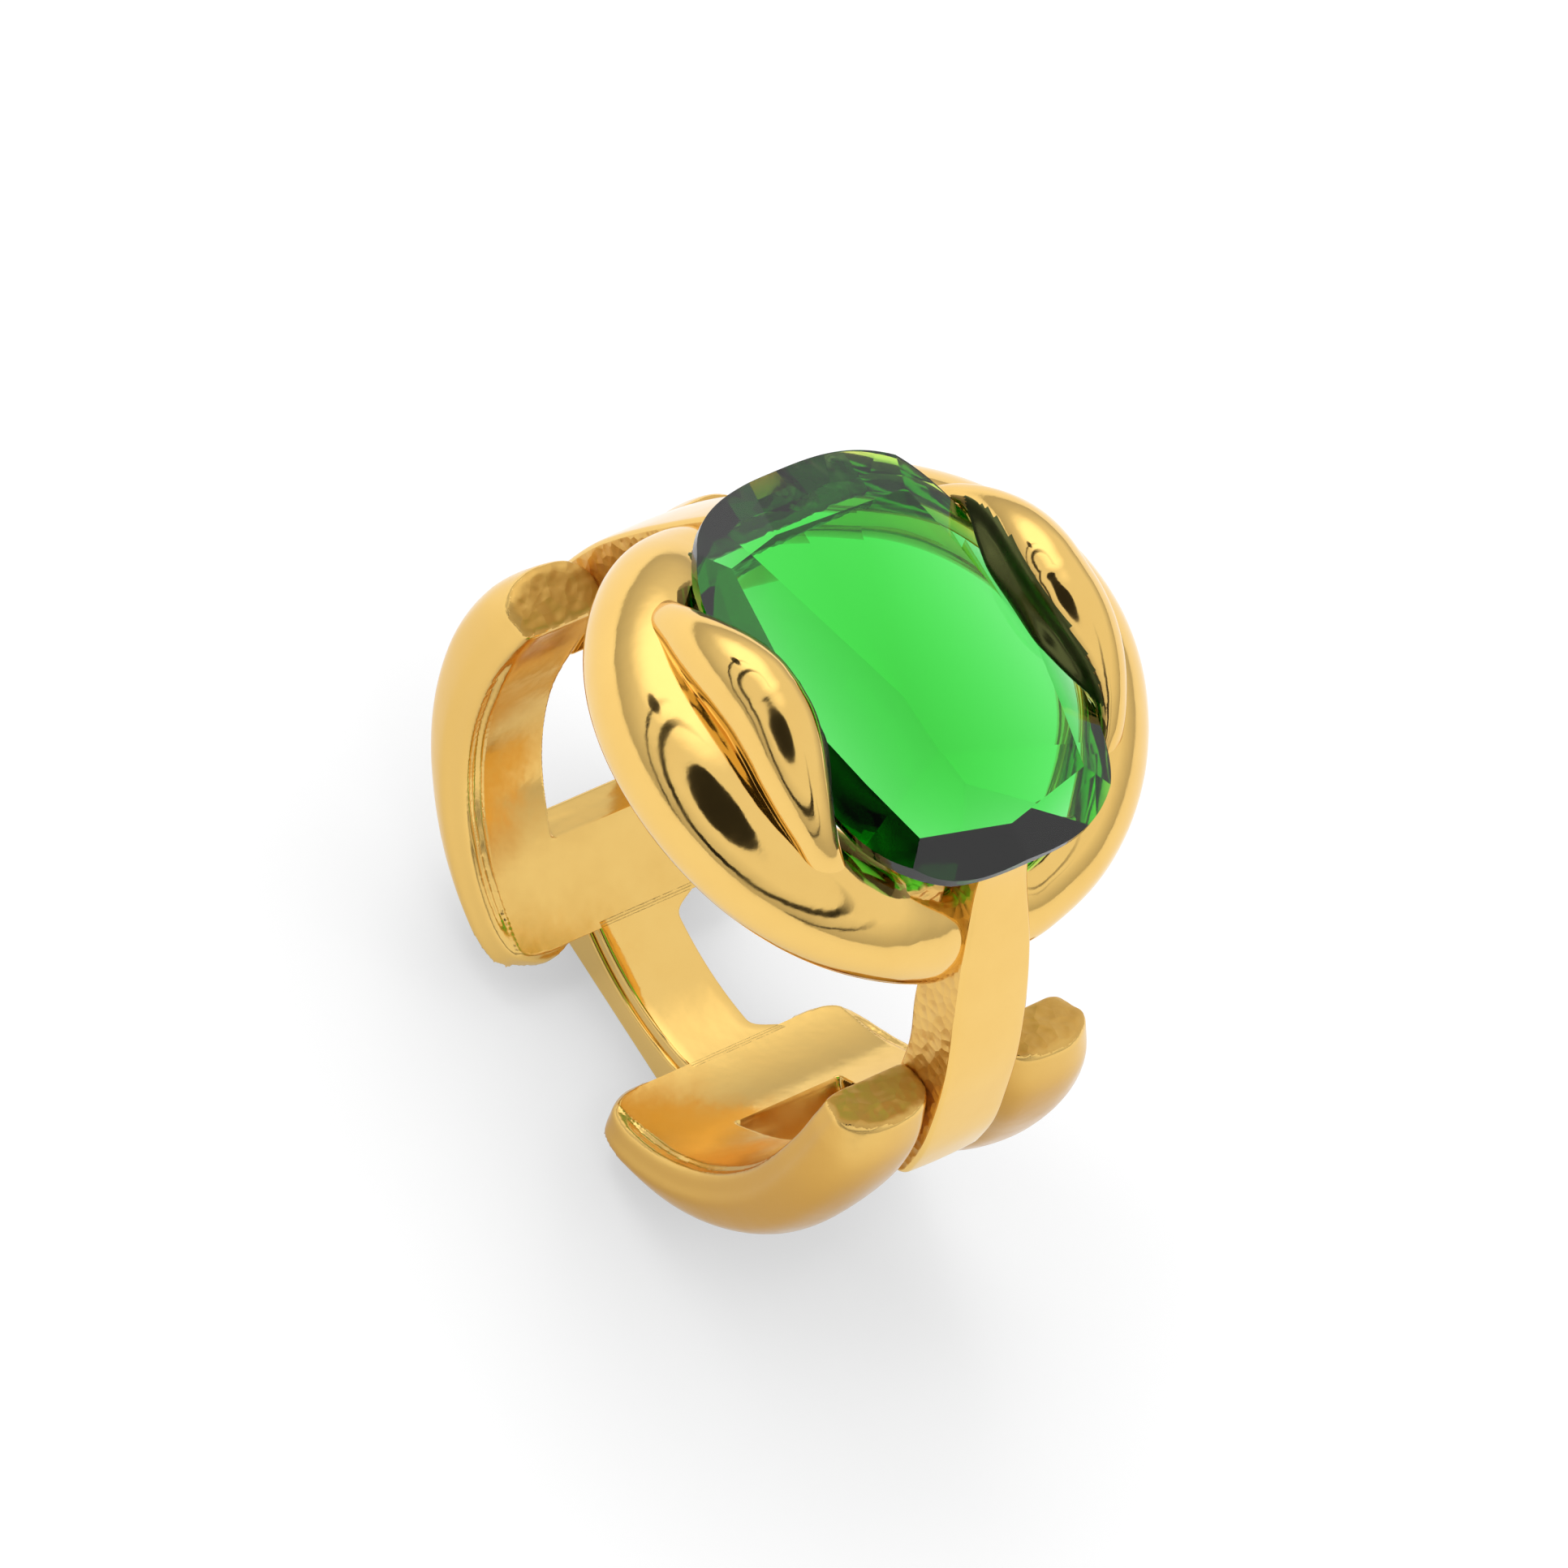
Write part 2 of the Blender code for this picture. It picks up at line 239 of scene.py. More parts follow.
def gold_material(name, base, rough_low, rough_high, pebble=0.0,
                  pebble_size=0.35, ripple=0.05, underside_shade=None):
    """Polished gold: casting ripple, fine scratches and soft wear in the
    roughness, colour that deepens a little in the duller patches. Given a
    second colour, faces that look sideways or down get it as painted shade."""
    mat = bpy.data.materials.new(name)
    mat.use_nodes = True
    tree = mat.node_tree
    bsdf = tree.nodes["Principled BSDF"]
    bsdf.inputs["Metallic"].default_value = 1.0
    coords = node(tree, "ShaderNodeTexCoord", (-1200, 0))
    # object coordinates are metres; 1000 makes a noise scale of 1 a millimetre
    scale = node(tree, "ShaderNodeVectorMath", (-1000, 0), operation='SCALE')
    scale.inputs["Scale"].default_value = 1000.0
    tree.links.new(coords.outputs["Object"], scale.inputs[0])
    p = scale.outputs["Vector"]

    cloud = node(tree, "ShaderNodeTexNoise", (-750, 300), Scale=0.55,
                 Detail=4.0, Roughness=0.6)
    tree.links.new(p, cloud.inputs["Vector"])
    ramp = node(tree, "ShaderNodeMapRange", (-500, 300))
    ramp.inputs["From Min"].default_value = 0.35
    ramp.inputs["From Max"].default_value = 0.68
    ramp.inputs["To Min"].default_value = rough_low
    ramp.inputs["To Max"].default_value = rough_high
    tree.links.new(cloud.outputs["Fac"], ramp.inputs["Value"])
    tree.links.new(ramp.outputs["Result"], bsdf.inputs["Roughness"])

    tint = node(tree, "ShaderNodeMix", (-250, 500), data_type='RGBA')
    tint.inputs["A"].default_value = (*base, 1)
    tint.inputs["B"].default_value = (base[0] * 0.95, base[1] * 0.9,
                                      base[2] * 0.82, 1)
    tree.links.new(cloud.outputs["Fac"], tint.inputs["Factor"])
    if underside_shade is None:
        tree.links.new(tint.outputs["Result"], bsdf.inputs["Base Color"])
    else:
        # painted shade: a darker tone on faces that look sideways or down
        geo = node(tree, "ShaderNodeNewGeometry", (-750, 800))
        parts = node(tree, "ShaderNodeSeparateXYZ", (-550, 800))
        tree.links.new(geo.outputs["Normal"], parts.inputs[0])
        level = node(tree, "ShaderNodeMapRange", (-350, 800),
                     interpolation_type='SMOOTHSTEP')
        level.inputs["From Min"].default_value = 0.72
        level.inputs["From Max"].default_value = -0.1
        tree.links.new(parts.outputs["Z"], level.inputs["Value"])
        shade = node(tree, "ShaderNodeMix", (-50, 700), data_type='RGBA')
        tree.links.new(level.outputs["Result"], shade.inputs["Factor"])
        tree.links.new(tint.outputs["Result"], shade.inputs["A"])
        shade.inputs["B"].default_value = (*underside_shade, 1)
        tree.links.new(shade.outputs["Result"], bsdf.inputs["Base Color"])

    wave = node(tree, "ShaderNodeTexNoise", (-750, -50), Scale=0.9,
                Detail=2.0, Roughness=0.5)
    tree.links.new(p, wave.inputs["Vector"])
    bump1 = node(tree, "ShaderNodeBump", (-350, -100), Strength=ripple,
                 Distance=0.0002)
    tree.links.new(wave.outputs["Fac"], bump1.inputs["Height"])
    fine = node(tree, "ShaderNodeTexNoise", (-750, -300), Scale=9.0,
                Detail=3.0, Roughness=0.65)
    tree.links.new(p, fine.inputs["Vector"])
    bump2 = node(tree, "ShaderNodeBump", (-150, -200), Strength=ripple * 0.6,
                 Distance=0.00002)
    tree.links.new(fine.outputs["Fac"], bump2.inputs["Height"])
    tree.links.new(bump1.outputs["Normal"], bump2.inputs["Normal"])
    last = bump2
    if pebble > 0:
        grain = node(tree, "ShaderNodeTexVoronoi", (-750, -550),
                     Scale=1.0 / pebble_size)
        tree.links.new(p, grain.inputs["Vector"])
        bump3 = node(tree, "ShaderNodeBump", (50, -300), Strength=pebble,
                     Distance=0.00012)
        tree.links.new(grain.outputs["Distance"], bump3.inputs["Height"])
        tree.links.new(bump2.outputs["Normal"], bump3.inputs["Normal"])
        last = bump3
    tree.links.new(last.outputs["Normal"], bsdf.inputs["Normal"])
    return mat


GOLD = (0.87, 0.585, 0.185)
gold = gold_material("polished_gold", GOLD, 0.05, 0.13, ripple=0.06)
# satin gold with light painted shade on faces that look sideways or down
gold_soft = gold_material("satin_gold", GOLD, 0.14, 0.26, ripple=0.08,
                          underside_shade=(0.77, 0.49, 0.14))
# satin gold with strong painted shade on faces that look sideways or down
gold_painted_shade = gold_material("satin_gold_painted_shade", GOLD, 0.14, 0.26, ripple=0.08,
                          underside_shade=(0.56, 0.305, 0.062))
gold_cast = gold_material("cast_gold", (0.8, 0.51, 0.15), 0.3, 0.45,
                          pebble=0.5, pebble_size=0.4)


# near-black gold that paints shade on the claws' stone-facing flanks and on the back seat
gold_painted_dark_shade = gold_material("painted_dark_shade_gold", (0.1, 0.115, 0.04), 0.16, 0.3)
gold_tip = gold_material("cast_gold_tip", (0.74, 0.48, 0.14), 0.5, 0.64,
                         pebble=0.5, pebble_size=0.55)


def stone_material():
    mat = bpy.data.materials.new("green_crystal")
    mat.use_nodes = True
    tree = mat.node_tree
    bsdf = tree.nodes["Principled BSDF"]
    bsdf.inputs["Base Color"].default_value = (1.0, 1.0, 1.0, 1)
    bsdf.inputs["Transmission Weight"].default_value = 1.0
    bsdf.inputs["IOR"].default_value = 1.56
    bsdf.inputs["Roughness"].default_value = 0.0
    coords = node(tree, "ShaderNodeTexCoord", (-900, -200))
    specks = node(tree, "ShaderNodeTexNoise", (-700, -200), Scale=900.0,
                  Detail=2.0)
    tree.links.new(coords.outputs["Object"], specks.inputs["Vector"])
    bump = node(tree, "ShaderNodeBump", (-300, -200), Strength=0.012,
                Distance=0.00005)
    tree.links.new(specks.outputs["Fac"], bump.inputs["Height"])
    tree.links.new(bump.outputs["Normal"], bsdf.inputs["Normal"])
    absorb = node(tree, "ShaderNodeVolumeAbsorption", (0, -400))
    absorb.inputs["Color"].default_value = (0.02, 0.9, 0.14, 1)
    absorb.inputs["Density"].default_value = 1750.0
    out = tree.nodes["Material Output"]
    tree.links.new(absorb.outputs["Volume"], out.inputs["Volume"])
    return mat


# --------------------------------------------------------------------- links
def rim_sections(steps=96, count=60):
    """Puffed rim of the front link, near side, from lower end to tip."""
    first, last = 16.0, 107.4
    rings = []
    for i in range(steps + 1):
        f = i / steps
        # closer sections at both rounded ends
        f = 0.5 - 0.5 * cos(pi * (0.06 + 0.88 * f))
        lo, hi = 0.5 - 0.5 * cos(pi * 0.06), 0.5 - 0.5 * cos(pi * 0.94)
        f = (f - lo) / (hi - lo)
        deg = first + (last - first) * f
        ro = track(deg, [(16, 9.7), (21, 10.25), (35, 10.85), (57, 11.15),
                         (80, 11.35), (98, 11.5), (107, 11.3)])
        ri = track(deg, [(16, HOLE), (80, HOLE), (98, 9.0), (107, 9.25)])
        far = track(deg, [(16, 4.4), (21, 5.05), (30, 5.32), (57, 5.45),
                          (85, 5.45), (100, 5.22), (107, 4.95)])
        near = track(deg, [(16, 2.6), (24, 2.3), (41, 2.05), (78, 2.05),
                           (92, 1.6), (107, 1.45)])
        crease = far - 0.62
        cut = ease((deg - 23) / 8) * ease((99 - deg) / 8)
        mid = (near + far) / 2
        ring = closed_spline([
            (near + 0.02, ri + 0.22), (near + 0.18, ri + 0.02),
            (near + 0.7, ri), (mid, ri), (crease - 0.6, ri),
            (crease - 0.16, ri), (crease, ri + 0.02 + 0.15 * cut),
            (crease + 0.15, ri + 0.06), (crease + 0.36, ri + 0.16),
            (far - 0.12, ri + 0.62), (far, ri + 1.1),
            (far - 0.28, ro - 0.55), (far - 0.95, ro - 0.12),
            (mid, ro), (near + 0.75, ro - 0.16), (near + 0.2, ro - 0.6),
            (near, ro - 1.1)], count)
        cy, cr = mid, (ri + ro) / 2
        # round the ends off over a short length
        s = 1.0
        if deg < first + 3.6:
            s = sqrt(max(1 - (1 - (deg - first) / 3.6) ** 2, 0.02))
        if deg > last - 1.5:
            s = 0.80 + 0.20 * sqrt(max(1 - (1 - (last - deg) / 1.5) ** 2, 0))
        rings.append([polar(cr + (r - cr) * s, deg, -(cy + (y - cy) * s))
                      for y, r in ring])
    return rings


def plate_sections(steps=30):
    rings = []
    for i in range(steps + 1):
        deg = 17.8 + (41.2 - 17.8) * i / steps
        thick = track(deg, [(17.8, 0.95), (24, 1.25), (41.2, 1.35)])
        half_y = track(deg, [(17.8, 3.6), (24, 4.3), (41.2, 4.5)])
        # the window's end wall leans: its outer edge runs on further
        lean = 3.4 * (i / steps) ** 6
        rings.append([polar(HOLE + thick / 2 + b,
                            deg + lean * (b / thick), a)
                      for a, b in rounded_box(half_y, thick / 2, 0.16, 5, 16)])
    return rings


VOXEL = 0.075


def build_link(side, sx):
    bm = bmesh.new()
    loft_into(bm, mirrored(plate_sections(), sx))
    for sy in (1, -1):
        loft_into(bm, mirrored(rim_sections(), sx, sy))
    bm = fused(bm, VOXEL, 3)
    # true up the finger side to the hole's cylinder
    for v in bm.verts:
        r = hypot(v.co.x, v.co.z)
        deg = degrees(atan2(abs(v.co.x), -v.co.z))
        if deg < 88 and abs(v.co.y) < 4.6 and 8.6 < r < 8.9:
            near = ((1 - ease((abs(r - HOLE) - 0.05) / 0.06))
                    * ease((88 - deg) / 14))
            k = 1 + (HOLE / r - 1) * near
            v.co.x *= k
            v.co.z *= k
    def rough_tip(co, n):
        deg = degrees(atan2(abs(co.x), -co.z))
        r = hypot(co.x, co.z)
        along = Vector((cos(radians(deg)) * sx, 0, sin(radians(deg))))
        facing = n.dot(along)
        return ease((deg - 101) / 4) * ease((facing - 0.45) / 0.4)
    roughen(bm, rough_tip, 0.45, 0.045)
    bm.normal_update()
    for face in bm.faces:
        if rough_tip(face.calc_center_median(), face.normal) > 0.35:
            face.material_index = 1
    return finished("link_" + side, bm, ["link_" + side], 60)


# -------------------------------------------------------------------- straps
STRAP = [(0, (11.15, -1.4, 9.0, -1.2, 1.45)),
         (1, (11.25, 0.5, 9.0, 0.5, 1.5)),
         (2, (11.0, 2.1, 8.85, 1.9, 1.5)),
         (3, (10.5, 4.06, 8.5, 3.65, 1.5)),
         (4, (9.65, 6.2, 7.75, 5.3, 1.48)),
         (5, (8.6, 8.4, 7.0, 7.5, 1.36)),
         (6, (7.5, 10.5, 6.4, 9.8, 1.08)),
         (7, (7.1, 11.6, 6.2, 11.2, 0.95))]


def build_strap(side, sx):
    steps = 90
    rings = []
    for i in range(steps + 1):
        t = 7 * i / steps
        ox, oz, ix, iz, hw = track(t, STRAP)
        if t < 0.35:
            s = 0.55 + 0.45 * sqrt(1 - (1 - t / 0.35) ** 2)
            mx, mz = (ox + ix) / 2, (oz + iz) / 2
            ox, oz = mx + (ox - mx) * s, mz + (oz - mz) * s
            ix, iz = mx + (ix - mx) * s, mz + (iz - mz) * s
        thick = hypot(ox - ix, oz - iz)
        ux, uz = (ox - ix) / thick, (oz - iz) / thick
        mx, mz = (ox + ix) / 2, (oz + iz) / 2
        ring = []
        for a, b in rounded_box(hw, thick / 2, 0.17, 6, 8):
            crown = 0.05 * (1 - (a / hw) ** 2) * (1 if b > 0 else 0)
            ring.append((mx + ux * (b + crown), a, mz + uz * (b + crown)))
        rings.append(ring)
    bm = bmesh.new()
    loft_into(bm, mirrored(rings, sx))
    bm.normal_update()
    # the side walls keep the satin of the casting
    for face in bm.faces:
        if abs(face.normal.y) > 0.93:
            face.material_index = 1
    return finished("strap_" + side, bm, ["strap_" + side], 50)


# --------------------------------------------------------------------- loops
def loop_frame(th):
    """Centre, outward direction, half sizes and lean of the near loop."""
    s, c = sin(th), cos(th)
    rise = abs(c)
    x = copysign(abs(s) ** 0.97, s) * track(rise, [(0.08, 7.2), (0.2, 7.45), (0.34, 7.42),
                                                   (0.5, 7.33), (1, 7.05)])
    y = -7.38 * c ** 0.97
    z = track(rise, [(0.08, 8.3), (0.2, 8.35), (0.5, 9.3), (0.88, 10.2),
                     (1, 10.6)])
    out = track(rise, [(0.08, 1.0), (0.2, 1.12), (0.5, 1.62), (1, 1.92)])
    up = track(rise, [(0.08, 1.6), (0.2, 1.64), (0.5, 1.8), (1, 1.82)])
    lean = track(rise, [(0.05, 0.45), (0.17, 0.42), (0.5, 0.3), (1, 0.12)])
    nx, ny = x, y
    size = hypot(nx, ny)
    return x, y, z, nx / size, ny / size, out, up, lean


# loop section away from the straps, as shares of its half sizes
CROWNED = [(-0.6, 1.08), (-0.2, 1.165), (0.115, 1.1), (0.43, 0.92),
           (0.71, 0.63), (0.906, 0.275), (0.99, -0.11), (0.92, -0.55),
           (0.69, -0.85), (0.32, -0.99), (-0.2, -0.96), (-0.67, -0.71),
           (-0.88, -0.22), (-0.88, 0.5)]


def build_loop(name, sy):
    steps, count = 150, 72
    rings = []
    for i in range(steps + 1):
        th = radians(-83 + 166 * i / steps)
        x, y, z, nx, ny, out, up, lean = loop_frame(th)
        mix = ease((abs(cos(th)) - 0.15) / 0.6)
        ring = []
        for p, q in CROWNED:
            a = atan2(q, p)
            p = out * (p * mix + cos(a) * (1 - mix))
            q = up * (q * mix + sin(a) * (1 - mix))
            flat = p * cos(lean) - q * sin(lean)
            high = p * sin(lean) + q * cos(lean)
            ring.append((flat, high))
        rings.append([(x + nx * flat, y + ny * flat, z + high)
                      for flat, high in closed_spline(ring, count)])
    bm = bmesh.new()
    loft_into(bm, mirrored(rings, 1, sy))
    return finished("loop_" + name, bm, ["loop_" + name], 60)


# --------------------------------------------------------------------- claws
STONE_X, STONE_Y, STONE_L, STONE_W, STONE_P = 0.12, 0.1, 7.5, 5.32, 0.66
# distance along -> inner silhouette side and height, inner and outer radius
CLAW_RIDGE = [(0, (4.7, 14.66, 1.12, 1.74)), (1.0, (4.75, 14.58, 1.1, 1.72)),
              (2.0, (4.93, 14.28, 0.98, 1.6)), (3.0, (5.18, 13.76, 0.76, 1.34)),
              (4.0, (5.33, 13.0, 0.52, 1.02)), (4.8, (5.2, 12.1, 0.44, 0.8)),
              (5.4, (4.85, 11.2, 0.4, 0.7)), (6.2, (4.2, 10.1, 0.38, 0.6))]


# where the inner flank comes down on the stone
CLAW_FOOT = [(0, 4.22), (1.5, 4.24), (2.3, 4.5), (2.9, 4.78), (3.5, 5.1),
             (4.2, 5.3)]


def girdle_y(x):
    t = min(abs(x / STONE_L), 1.0)
    return STONE_W * (1 - t ** (2 / STONE_P)) ** (STONE_P / 2)


def build_claw(name, sy):
    """Rounded ridge over the stone's edge; it sinks into the loop at each
    end and leaves a groove between itself and the loop."""
    steps, count = 140, 72
    rings = []
    for i in range(steps + 1):
        x = 6.2 * sin(pi / 2 * (-1 + 2 * i / steps))
        d = abs(x)
        side, high, ri, ro = track(d, CLAW_RIDGE)
        yc, zc = side + 0.843 * ri, high - 0.538 * ri
        ox = yc + (ri - ro) * 0.538
        oz = zc + (ri - ro) * 0.843
        yi = yc - ri
        toe = min(track(d, CLAW_FOOT), yi)
        toe_z = 13.31 - max(toe - 4.3, 0.0) * 0.62
        toe_z = min(toe_z, zc - 0.25)
        ring = [(toe, toe_z + 0.12),
                (toe + 0.24 * (yi - toe), toe_z + 0.54 * (zc - toe_z)),
                (yi - 0.04, zc + 0.01)]
        for deg in (155, 130, 105, 80, 57.4):
            a = radians(deg)
            ring.append((yc + ri * cos(a), zc + ri * sin(a)))
        for deg in (38, 18, 0, -14, -26):
            a = radians(deg)
            ring.append((ox + ro * cos(a), oz + ro * sin(a)))
        yo, zo = ring[-1]
        foot = zo - 1.3
        edge = girdle_y(x - STONE_X) + 0.05
        zg = min(12.62, zc - 0.35)
        under = max(edge, yi + 0.01)
        ring += [(yo - 0.1, zo - 0.5), (yo - 0.35, foot),
                 (under + 0.15, foot), (under, (foot + zg) / 2), (under, zg),
                 (toe + 0.06, toe_z)]
        rings.append([(x, -a, b) for a, b in closed_spline(ring, count)])
    bm = bmesh.new()
    loft_into(bm, mirrored(rings, 1, sy))
    bm.normal_update()
    # painted shade: the flank that faces the stone takes the near-black gold, as if in
    # shadow
    for face in bm.faces:
        centre = face.calc_center_median()
        side, high, ri, _ = track(abs(centre.x), CLAW_RIDGE)
        yc, zc = side + 0.843 * ri, high - 0.538 * ri
        if face.normal.y * sy > 0.1 and abs(centre.x) < 5.2 \
                and abs(centre.y) < yc - 0.3 * ri \
                and 12.9 < centre.z < zc + 0.6 * ri:
            face.material_index = 1
    return finished("claw_" + name, bm, ["claw_" + name], 60)


# --------------------------------------------------------------------- seats
def build_seat(side, sx):
    """Cast web behind the strap's top, thicker at both sides of the strap."""
    rings = []
    for i in range(61):
        y = -3.3 + 6.6 * i / 60
        wide = ease((abs(y) - 1.2) / 0.7)
        half = 0.2 + 0.4 * wide
        x = 5.93 + 0.42 * wide - 0.05 * max(abs(y) - 2, 0)
        rings.append([(x + a - 0.3 * b, y, 9.95 + b)
                      for a, b in rounded_box(half, 1.0, 0.18, 5, 6)])
    bm = bmesh.new()
    loft_into(bm, mirrored(rings, sx))
    bm = fused(bm, 0.09, 2)
    roughen(bm, lambda co, n: 1.0, 0.3, 0.09)
    return finished("seat_" + side, bm, ["seat_" + side], 60)


# ------------------------------------------------------------------ base bar
def build_bars():
    rings = []
    for i in range(61):
        deg = -19.2 + 38.4 * i / 60
        flare = ease((abs(deg) - 12.5) / 6.7) ** 2
        ring = []
        for a, b in rounded_box(1.5, 0.3, 0.12, 5, 8):
            wide = 1.1 * flare if a > 0 else 0.0
            ring.append(polar(HOLE + 0.3 + b, deg, a * (1 + wide / 1.5)))
        rings.append(ring)
    bm = bmesh.new()
    loft_into(bm, rings)
    inner = finished("base_bar_inner", bm,
                     ["base_bar_inner"], 50)
    rings = []
    for i in range(61):
        x = -3.5 + 7.0 * i / 60
        top = -sqrt(9.22 ** 2 - x * x)
        mid, half = (top - AXIS_UP) / 2, (top + AXIS_UP) / 2
        rings.append([(x, a, mid + b)
                      for a, b in rounded_box(1.62, half, 0.1, 4, 8)])
    bm = bmesh.new()
    loft_into(bm, rings)
    outer = finished("base_bar_outer", bm,
                     ["base_bar_outer"], 50)
    return inner, outer


# --------------------------------------------------------------------- stone
TABLE = [(6.5, -0.15), (5.75, 3.25), (3.6, 3.8), (1.3, 4.32), (-2.4, 3.9),
         (-4.95, 3.4), (-5.2, -1.6), (-4.75, -3.65), (1.4, -4.35),
         (3.45, -3.85), (5.72, -3.4)]
TABLE_Z, CROWN_FOOT, PAVILION_TOP, SHOULDER_Z, KEEL_Z = 13.3, 12.62, 12.42, 11.8, 11.0


def build_stone():
    """Cushion: flat table, one crown facet to each table edge, thin girdle,
    and a shallow pavilion whose long facets meet in a keel."""
    outline = []
    n = 160
    for k in range(n):
        a = 2 * pi * k / n
        c, s = cos(a), sin(a)
        outline.append((STONE_X + STONE_L * copysign(abs(c) ** STONE_P, c),
                        STONE_Y + STONE_W * copysign(abs(s) ** STONE_P, s)))
    bm = bmesh.new()
    low = [bm.verts.new((x, y, 9.0)) for x, y in outline]
    high = [bm.verts.new((x, y, TABLE_Z)) for x, y in outline]
    bm.faces.new(high)
    bm.faces.new(list(reversed(low)))
    for k in range(n):
        bm.faces.new((low[k], low[(k + 1) % n], high[(k + 1) % n], high[k]))

    def cut(point, normal):
        geom = list(bm.verts) + list(bm.edges) + list(bm.faces)
        done = bmesh.ops.bisect_plane(bm, geom=geom, dist=1e-6,
                                      plane_co=point, plane_no=normal,
                                      clear_outer=True)
        rim = [g for g in done["geom_cut"]
               if isinstance(g, bmesh.types.BMEdge)]
        if rim:
            bmesh.ops.edgeloop_fill(bm, edges=rim)

    def reach(point, away):
        return max((x - point[0]) * away[0] + (y - point[1]) * away[1]
                   for x, y in outline)

    count = len(TABLE)
    for k in range(count):
        p, q = TABLE[k], TABLE[(k + 1) % count]
        away = Vector((q[1] - p[1], p[0] - q[0])).normalized()
        if away.x * p[0] + away.y * p[1] < 0:
            away = -away
        run = reach(p, away)
        drop = TABLE_Z - CROWN_FOOT
        cut((p[0], p[1], TABLE_Z),
            Vector((away.x * drop, away.y * drop, run)).normalized())
    # pavilion: long shallow facets that meet in a keel, two ends and four
    # corners; the back end also has a narrow steep tier below its girdle
    for deg in (130, 155, 180, 205, 230):
        away = Vector((cos(radians(deg)), sin(radians(deg))))
        run = reach((STONE_X, STONE_Y), away)
        cut((STONE_X + away.x * run, STONE_Y + away.y * run, PAVILION_TOP),
            Vector((away.x * 0.75, away.y * 0.75, -1)).normalized())
    for s in (1, -1):
        top = PAVILION_TOP if s > 0 else SHOULDER_Z
        run = reach((0, -0.1), (0, s))
        cut((0, -0.1, KEEL_Z),
            Vector((0, s * (PAVILION_TOP - KEEL_Z), -run)).normalized())
        tip = 3.7 if s > 0 else -3.9
        run = reach((tip, 0), (s, 0))
        cut((tip, 0, KEEL_Z), Vector((s * (top - KEEL_Z), 0, -run)).normalized())
        for t in (1, -1):
            away = Vector((s * 0.7, t * 0.714)).normalized()
            start = (s * 3.2, t * 2.1)
            run = reach(start, away)
            drop = top - 0.05 - (KEEL_Z + 0.42)
            cut((start[0], start[1], KEEL_Z + 0.42),
                Vector((away.x * drop, away.y * drop, -run)).normalized())
    bmesh.ops.remove_doubles(bm, verts=bm.verts, dist=1e-4)
    return finished("stone", bm, ["stone"], None)


pieces = {}
for side, sx in (("front", 1), ("back", -1)):
    pieces["link_" + side] = build_link(side, sx)
    pieces["strap_" + side] = build_strap(side, sx)
    pieces["seat_" + side] = build_seat(side, sx)
for name, sy in (("near", 1), ("far", -1)):
    pieces["loop_" + name] = build_loop(name, sy)
    pieces["claw_" + name] = build_claw(name, sy)
pieces["base_bar_inner"], pieces["base_bar_outer"] = build_bars()
pieces["stone"] = build_stone()
for key, obj in pieces.items():
    second = [face.material_index for face in obj.data.polygons]
    obj.data.materials.clear()
    if key == "stone":
        obj.data.materials.append(stone_material())
    elif key.startswith("seat"):
        # the back seat is painted near-black as shade
        obj.data.materials.append(gold_cast if key == "seat_front"
                                  else gold_painted_dark_shade)
    elif key.startswith("link"):
        # painted shade: the front link's lower faces get the strong shade, the back
        # link's the light one
        obj.data.materials.append(gold_painted_shade if key == "link_front"
                                  else gold_soft)
        obj.data.materials.append(gold_tip)
    else:
        obj.data.materials.append(gold)
        if key.startswith("strap"):
            obj.data.materials.append(gold_cast)
        elif key.startswith("claw"):
            # painted shade on the claws' stone-facing flank faces
            obj.data.materials.append(gold_painted_dark_shade)
    if len(obj.data.materials) > 1:
        for face, index in zip(obj.data.polygons, second):
            face.material_index = index

# -------------------------------------------------------------- floor, light
plane = bpy.data.meshes.new("floor")
plane.from_pydata([(-2, -2, 0), (2, -2, 0), (2, 2, 0), (-2, 2, 0)], [],
                  [(0, 1, 2, 3)])
floor = bpy.data.objects.new("floor", plane)
bpy.context.scene.collection.objects.link(floor)
paint = bpy.data.materials.new("floor_white")
paint.use_nodes = True
fb = paint.node_tree.nodes["Principled BSDF"]
fb.inputs["Base Color"].default_value = (0.56, 0.56, 0.56, 1)
fb.inputs["Roughness"].default_value = 0.6
fb.inputs["Specular IOR Level"].default_value = 0.1
fb.inputs["Emission Color"].default_value = (1, 1, 1, 1)
fb.inputs["Emission Strength"].default_value = 0.47
floor.data.materials.append(paint)

world = bpy.data.worlds.new("studio")
bpy.context.scene.world = world
world.use_nodes = True
wt = world.node_tree
back = wt.nodes["Background"]
VIEW = Vector((0.265, -0.519, 0.813)).normalized()
coords = node(wt, "ShaderNodeTexCoord", (-1400, 0))
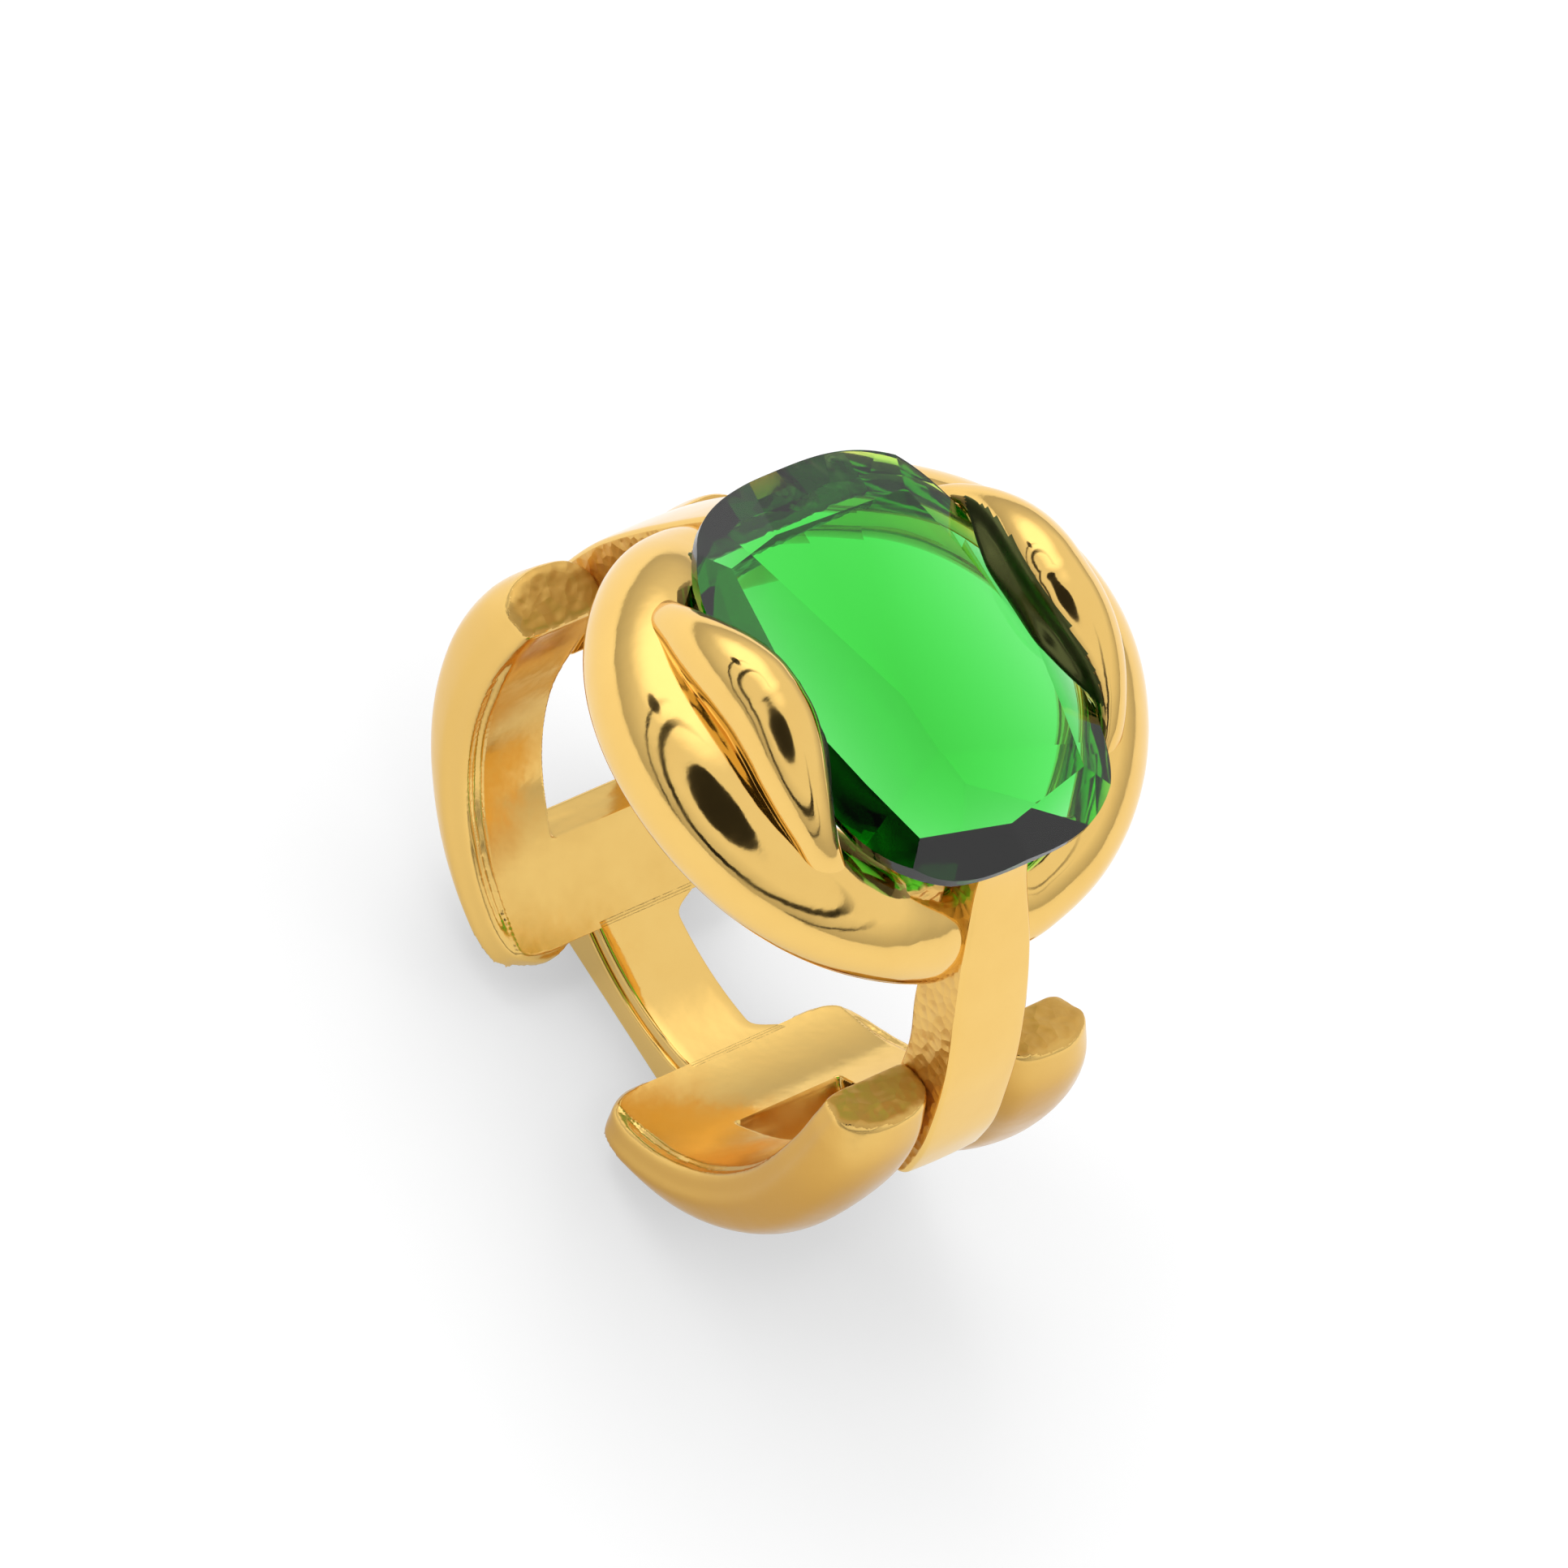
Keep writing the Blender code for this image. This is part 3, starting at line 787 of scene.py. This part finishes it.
# brightness rises from the floor line to overhead
sep = node(wt, "ShaderNodeSeparateXYZ", (-1200, -200))
wt.links.new(coords.outputs["Generated"], sep.inputs[0])
rise = node(wt, "ShaderNodeMapRange", (-1000, -200))
rise.inputs["From Min"].default_value = -0.1
rise.inputs["From Max"].default_value = 0.45
rise.inputs["To Min"].default_value = 0.45
rise.inputs["To Max"].default_value = 0.98
wt.links.new(sep.outputs["Z"], rise.inputs["Value"])
def patch(direction, outer, inner, level, y):
    """Factor that is 1 outside the cone and `level` inside it."""
    dot = node(wt, "ShaderNodeVectorMath", (-1200, y), operation='DOT_PRODUCT')
    wt.links.new(coords.outputs["Generated"], dot.inputs[0])
    dot.inputs[1].default_value = Vector(direction).normalized()
    m = node(wt, "ShaderNodeMapRange", (-1000, y))
    m.inputs["From Min"].default_value = cos(radians(outer))
    m.inputs["From Max"].default_value = cos(radians(inner))
    m.inputs["To Min"].default_value = 1.0
    m.inputs["To Max"].default_value = level
    wt.links.new(dot.outputs["Value"], m.inputs["Value"])
    return m.outputs["Result"], dot.outputs["Value"]


def times(a, b, y, kind='MULTIPLY'):
    m = node(wt, "ShaderNodeMath", (-500, y), operation=kind)
    for k, v in ((0, a), (1, b)):
        if isinstance(v, float):
            m.inputs[k].default_value = v
        else:
            wt.links.new(v, m.inputs[k])
    return m.outputs["Value"]


# the dark opening the lens looks in through, a smaller one to the side, and
# the seam of the tent round the first
total = rise.outputs["Result"]
lens, facing = patch((0.155, -0.59, 0.79), 22.5, 21.2, 0.03, 200)
total = times(total, lens, 100)
small, _ = patch((-0.69, -0.43, 0.57), 5.5, 4.5, 0.06, 500)
total = times(total, small, 200)
for inner, outer, y in ((44.6, 49.2, 800), (58.0, 59.6, 1200)):
    a, _ = patch(VIEW, outer + 0.5, outer, 0.0, y)
    b, _ = patch(VIEW, inner, inner - 0.5, 0.0, y + 150)
    band = times(b, a, y, 'SUBTRACT')
    near_side, _ = patch((0.25, -0.95, 0.2), 84, 64, 0.0, y + 300)
    band = times(band, times(1.0, near_side, y, 'SUBTRACT'), y)
    total = times(total, times(1.0, times(band, 0.97, y), y, 'SUBTRACT'), y)
# a soft bright panel overhead to the left
glow = node(wt, "ShaderNodeMapRange", (-1000, 1700), interpolation_type='SMOOTHSTEP')
_, high_left = patch((-0.66, 0.0, 0.75), 60, 10, 1.0, 1600)
wt.links.new(high_left, glow.inputs["Value"])
glow.inputs["From Min"].default_value = cos(radians(38))
glow.inputs["From Max"].default_value = cos(radians(14))
glow.inputs["To Min"].default_value = 1.0
glow.inputs["To Max"].default_value = 1.8
total = times(total, glow.outputs["Result"], 1500)
wt.links.new(total, back.inputs["Strength"])
back.inputs["Color"].default_value = (1, 1, 1, 1)

middle = Vector((0, 0, AXIS_UP * MM))


def softbox(name, direction, distance, size, power, colour=(1, 1, 1)):
    data = bpy.data.lights.new(name, 'AREA')
    data.shape = 'DISK'
    data.size = size
    data.energy = power
    data.color = colour
    obj = bpy.data.objects.new(name, data)
    bpy.context.scene.collection.objects.link(obj)
    d = Vector(direction).normalized()
    obj.location = middle + d * distance
    obj.rotation_euler = (-d).to_track_quat('-Z', 'Y').to_euler()
    obj.visible_glossy = False
    obj.visible_transmission = False
    return obj


softbox("key_softbox", (-0.62, 0.1, 0.78), 0.45, 0.26, 0.42)
softbox("side_softbox", (-0.5, -0.7, 0.65), 0.5, 0.25, 0.2)

# -------------------------------------------------------------------- camera
right = Vector((0.527, 0.784, 0.328)).normalized()
up = Vector((-0.808, 0.341, 0.481))
up = (up - right * up.dot(right)).normalized()
toward = right.cross(up)
cam_data = bpy.data.cameras.new("camera")
cam = bpy.data.objects.new("camera", cam_data)
bpy.context.scene.collection.objects.link(cam)
turn = Matrix((right, up, toward)).transposed().to_4x4()
turn.translation = middle + (toward * 526 + right * 0.62 + up * 2.31) * MM
cam.matrix_world = turn
cam_data.lens = 381.0
cam_data.sensor_width = 36.0
cam_data.clip_start = 0.01
cam_data.clip_end = 10.0
bpy.context.scene.camera = cam
bpy.context.scene.view_settings.view_transform = 'Standard'
bpy.context.scene.cycles.caustics_reflective = False
bpy.context.scene.cycles.caustics_refractive = False
